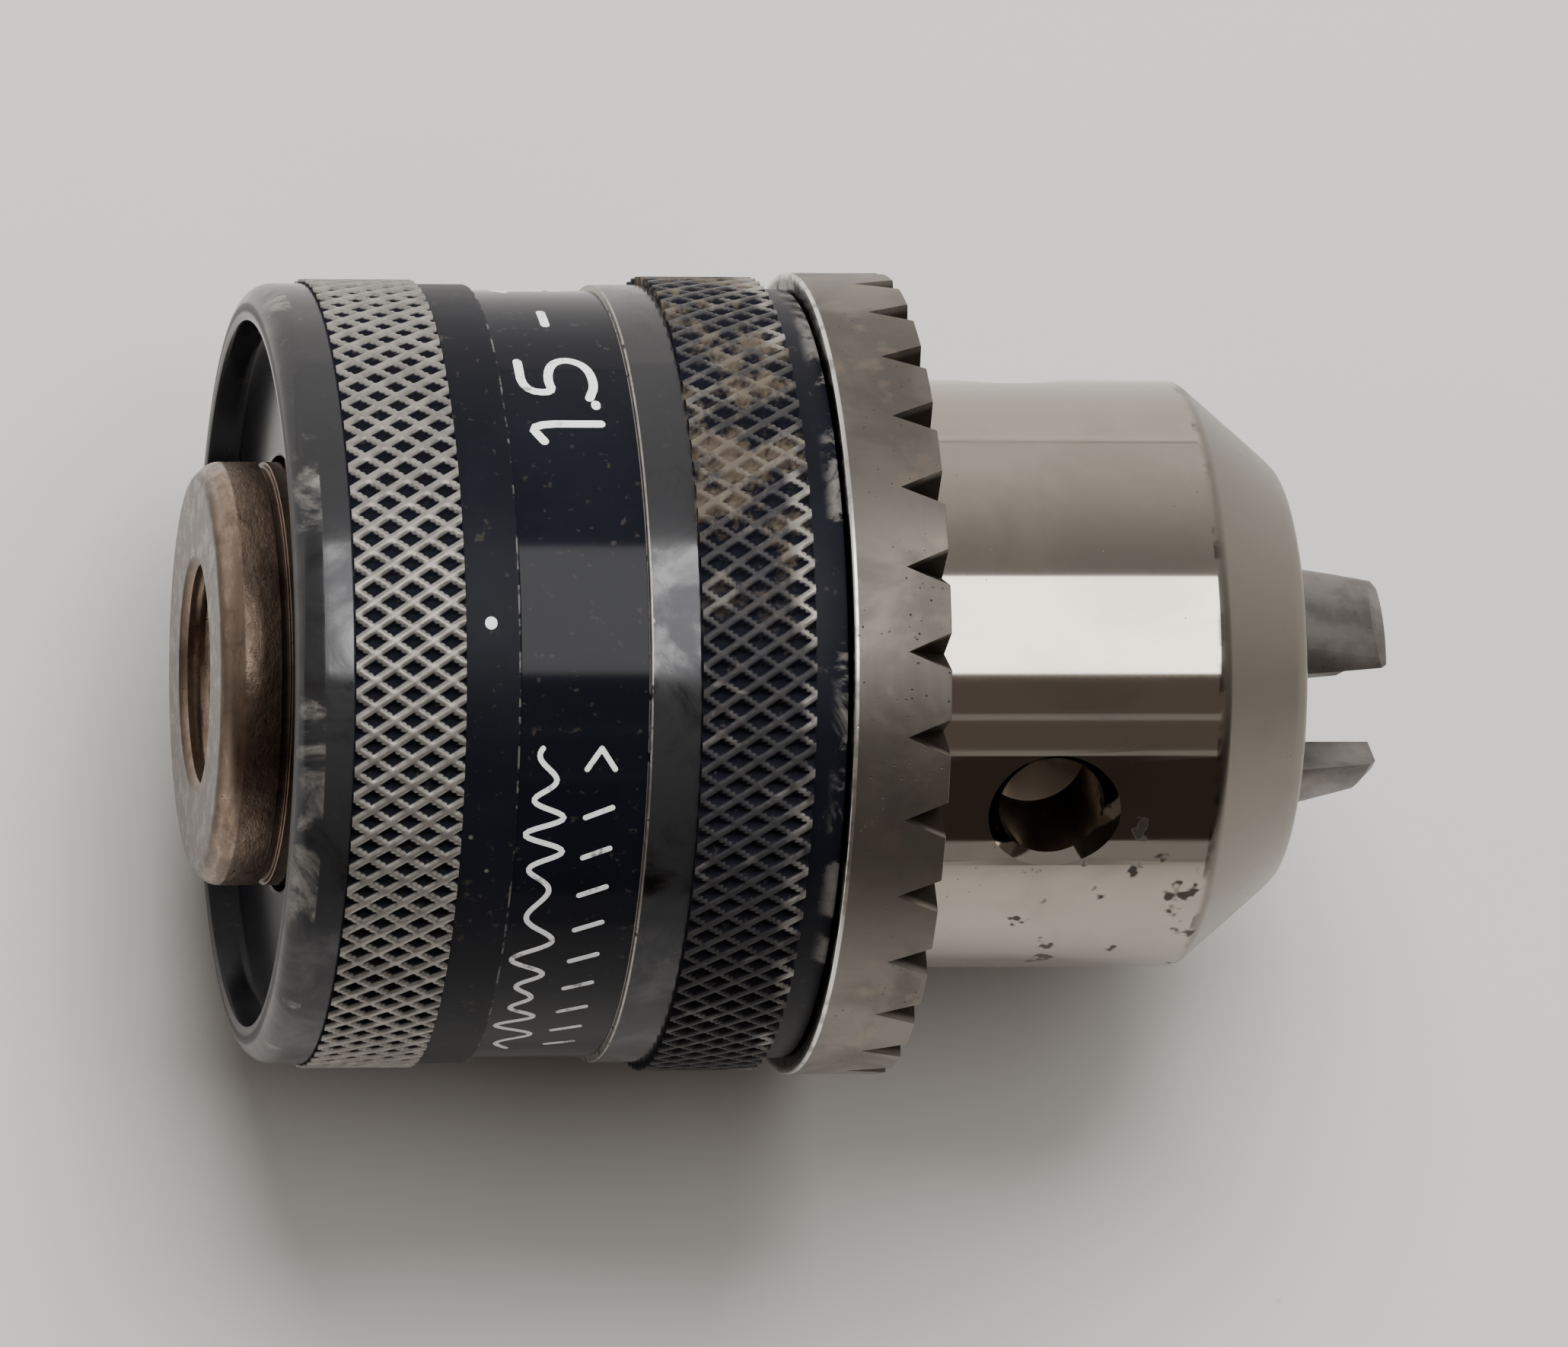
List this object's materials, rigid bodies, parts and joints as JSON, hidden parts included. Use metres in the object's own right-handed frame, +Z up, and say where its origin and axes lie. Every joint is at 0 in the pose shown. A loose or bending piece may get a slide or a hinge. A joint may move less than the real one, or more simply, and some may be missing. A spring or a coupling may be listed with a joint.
{
  "type": "drill chuck",
  "caption": "Keyed drill chuck with slanting jaws, a knurled turning sleeve, a bevel-toothed key ring and a threaded spindle socket in its rear hub.",
  "frame": {"origin": "centre of the hub's rear face, where the body seats against the spindle's shoulder", "axes": "+X along the chuck's axis and out of the nose, +Z up, +Y to the left when looking along +X"},
  "size_m": [0.069, 0.0466, 0.0466],
  "materials": {
    "nose_steel": "satin nickel-grey steel, scuffed, brown and pitted on the rear hub",
    "black_sleeve": "glossy blue-black oxide, worn bright on the rear knurl",
    "gear_steel": "bare grey-brown steel, finely pitted",
    "jaw_steel": "matt hardened steel",
    "nut_steel": "dark oiled steel",
    "race_steel": "polished bearing steel",
    "cage_brass": "plain brass"
  },
  "bodies": {
    "body": {"chuck_body": "nose_steel", "race_rear": "race_steel"},
    "turning_sleeve": {"sleeve": "black_sleeve", "gear_ring": "gear_steel", "nut_half_a": "nut_steel", "nut_half_b": "nut_steel", "race_front": "race_steel"},
    "jaw_a": {"jaw_1": "jaw_steel"},
    "jaw_b": {"jaw_2": "jaw_steel"},
    "jaw_c": {"jaw_3": "jaw_steel"},
    "ball_set": {"ball_cage": "cage_brass", "ball_01": "race_steel", "ball_02": "race_steel", "ball_03": "race_steel", "ball_04": "race_steel", "ball_05": "race_steel", "ball_06": "race_steel", "ball_07": "race_steel", "ball_08": "race_steel", "ball_09": "race_steel", "ball_10": "race_steel", "ball_11": "race_steel", "ball_12": "race_steel", "ball_13": "race_steel", "ball_14": "race_steel", "ball_15": "race_steel", "ball_16": "race_steel", "ball_17": "race_steel", "ball_18": "race_steel", "ball_19": "race_steel", "ball_20": "race_steel", "ball_21": "race_steel", "ball_22": "race_steel", "ball_23": "race_steel", "ball_24": "race_steel"}
  },
  "joints": [
    {"name": "sleeve_turn", "type": "hinge", "parent": "body", "child": "turning_sleeve", "pos_m": [0.02, 0, 0], "axis": [1, 0, 0], "range_deg": [-1925, 1481]},
    {"name": "jaw_1_slide", "type": "slide", "parent": "body", "child": "jaw_a", "axis": [0.97, -0.0832, -0.2285], "range_m": [-0.01029, 0.01338]},
    {"name": "jaw_2_slide", "type": "slide", "parent": "body", "child": "jaw_b", "axis": [0.97, -0.1563, 0.1863], "range_m": [-0.01029, 0.01338]},
    {"name": "jaw_3_slide", "type": "slide", "parent": "body", "child": "jaw_c", "axis": [0.97, 0.2395, 0.0422], "range_m": [-0.01029, 0.01338]},
    {"name": "cage_turn", "type": "hinge", "parent": "body", "child": "ball_set", "pos_m": [0.0274, 0, 0], "axis": [1, 0, 0], "range_deg": [-963, 741]}
  ],
  "couplings": [
    {"joint": "jaw_1_slide", "follows": "sleeve_turn", "m_per_rad": -0.00039789},
    {"joint": "jaw_2_slide", "follows": "sleeve_turn", "m_per_rad": -0.00039789},
    {"joint": "jaw_3_slide", "follows": "sleeve_turn", "m_per_rad": -0.00039789},
    {"joint": "cage_turn", "follows": "sleeve_turn", "ratio": 0.5}
  ]
}
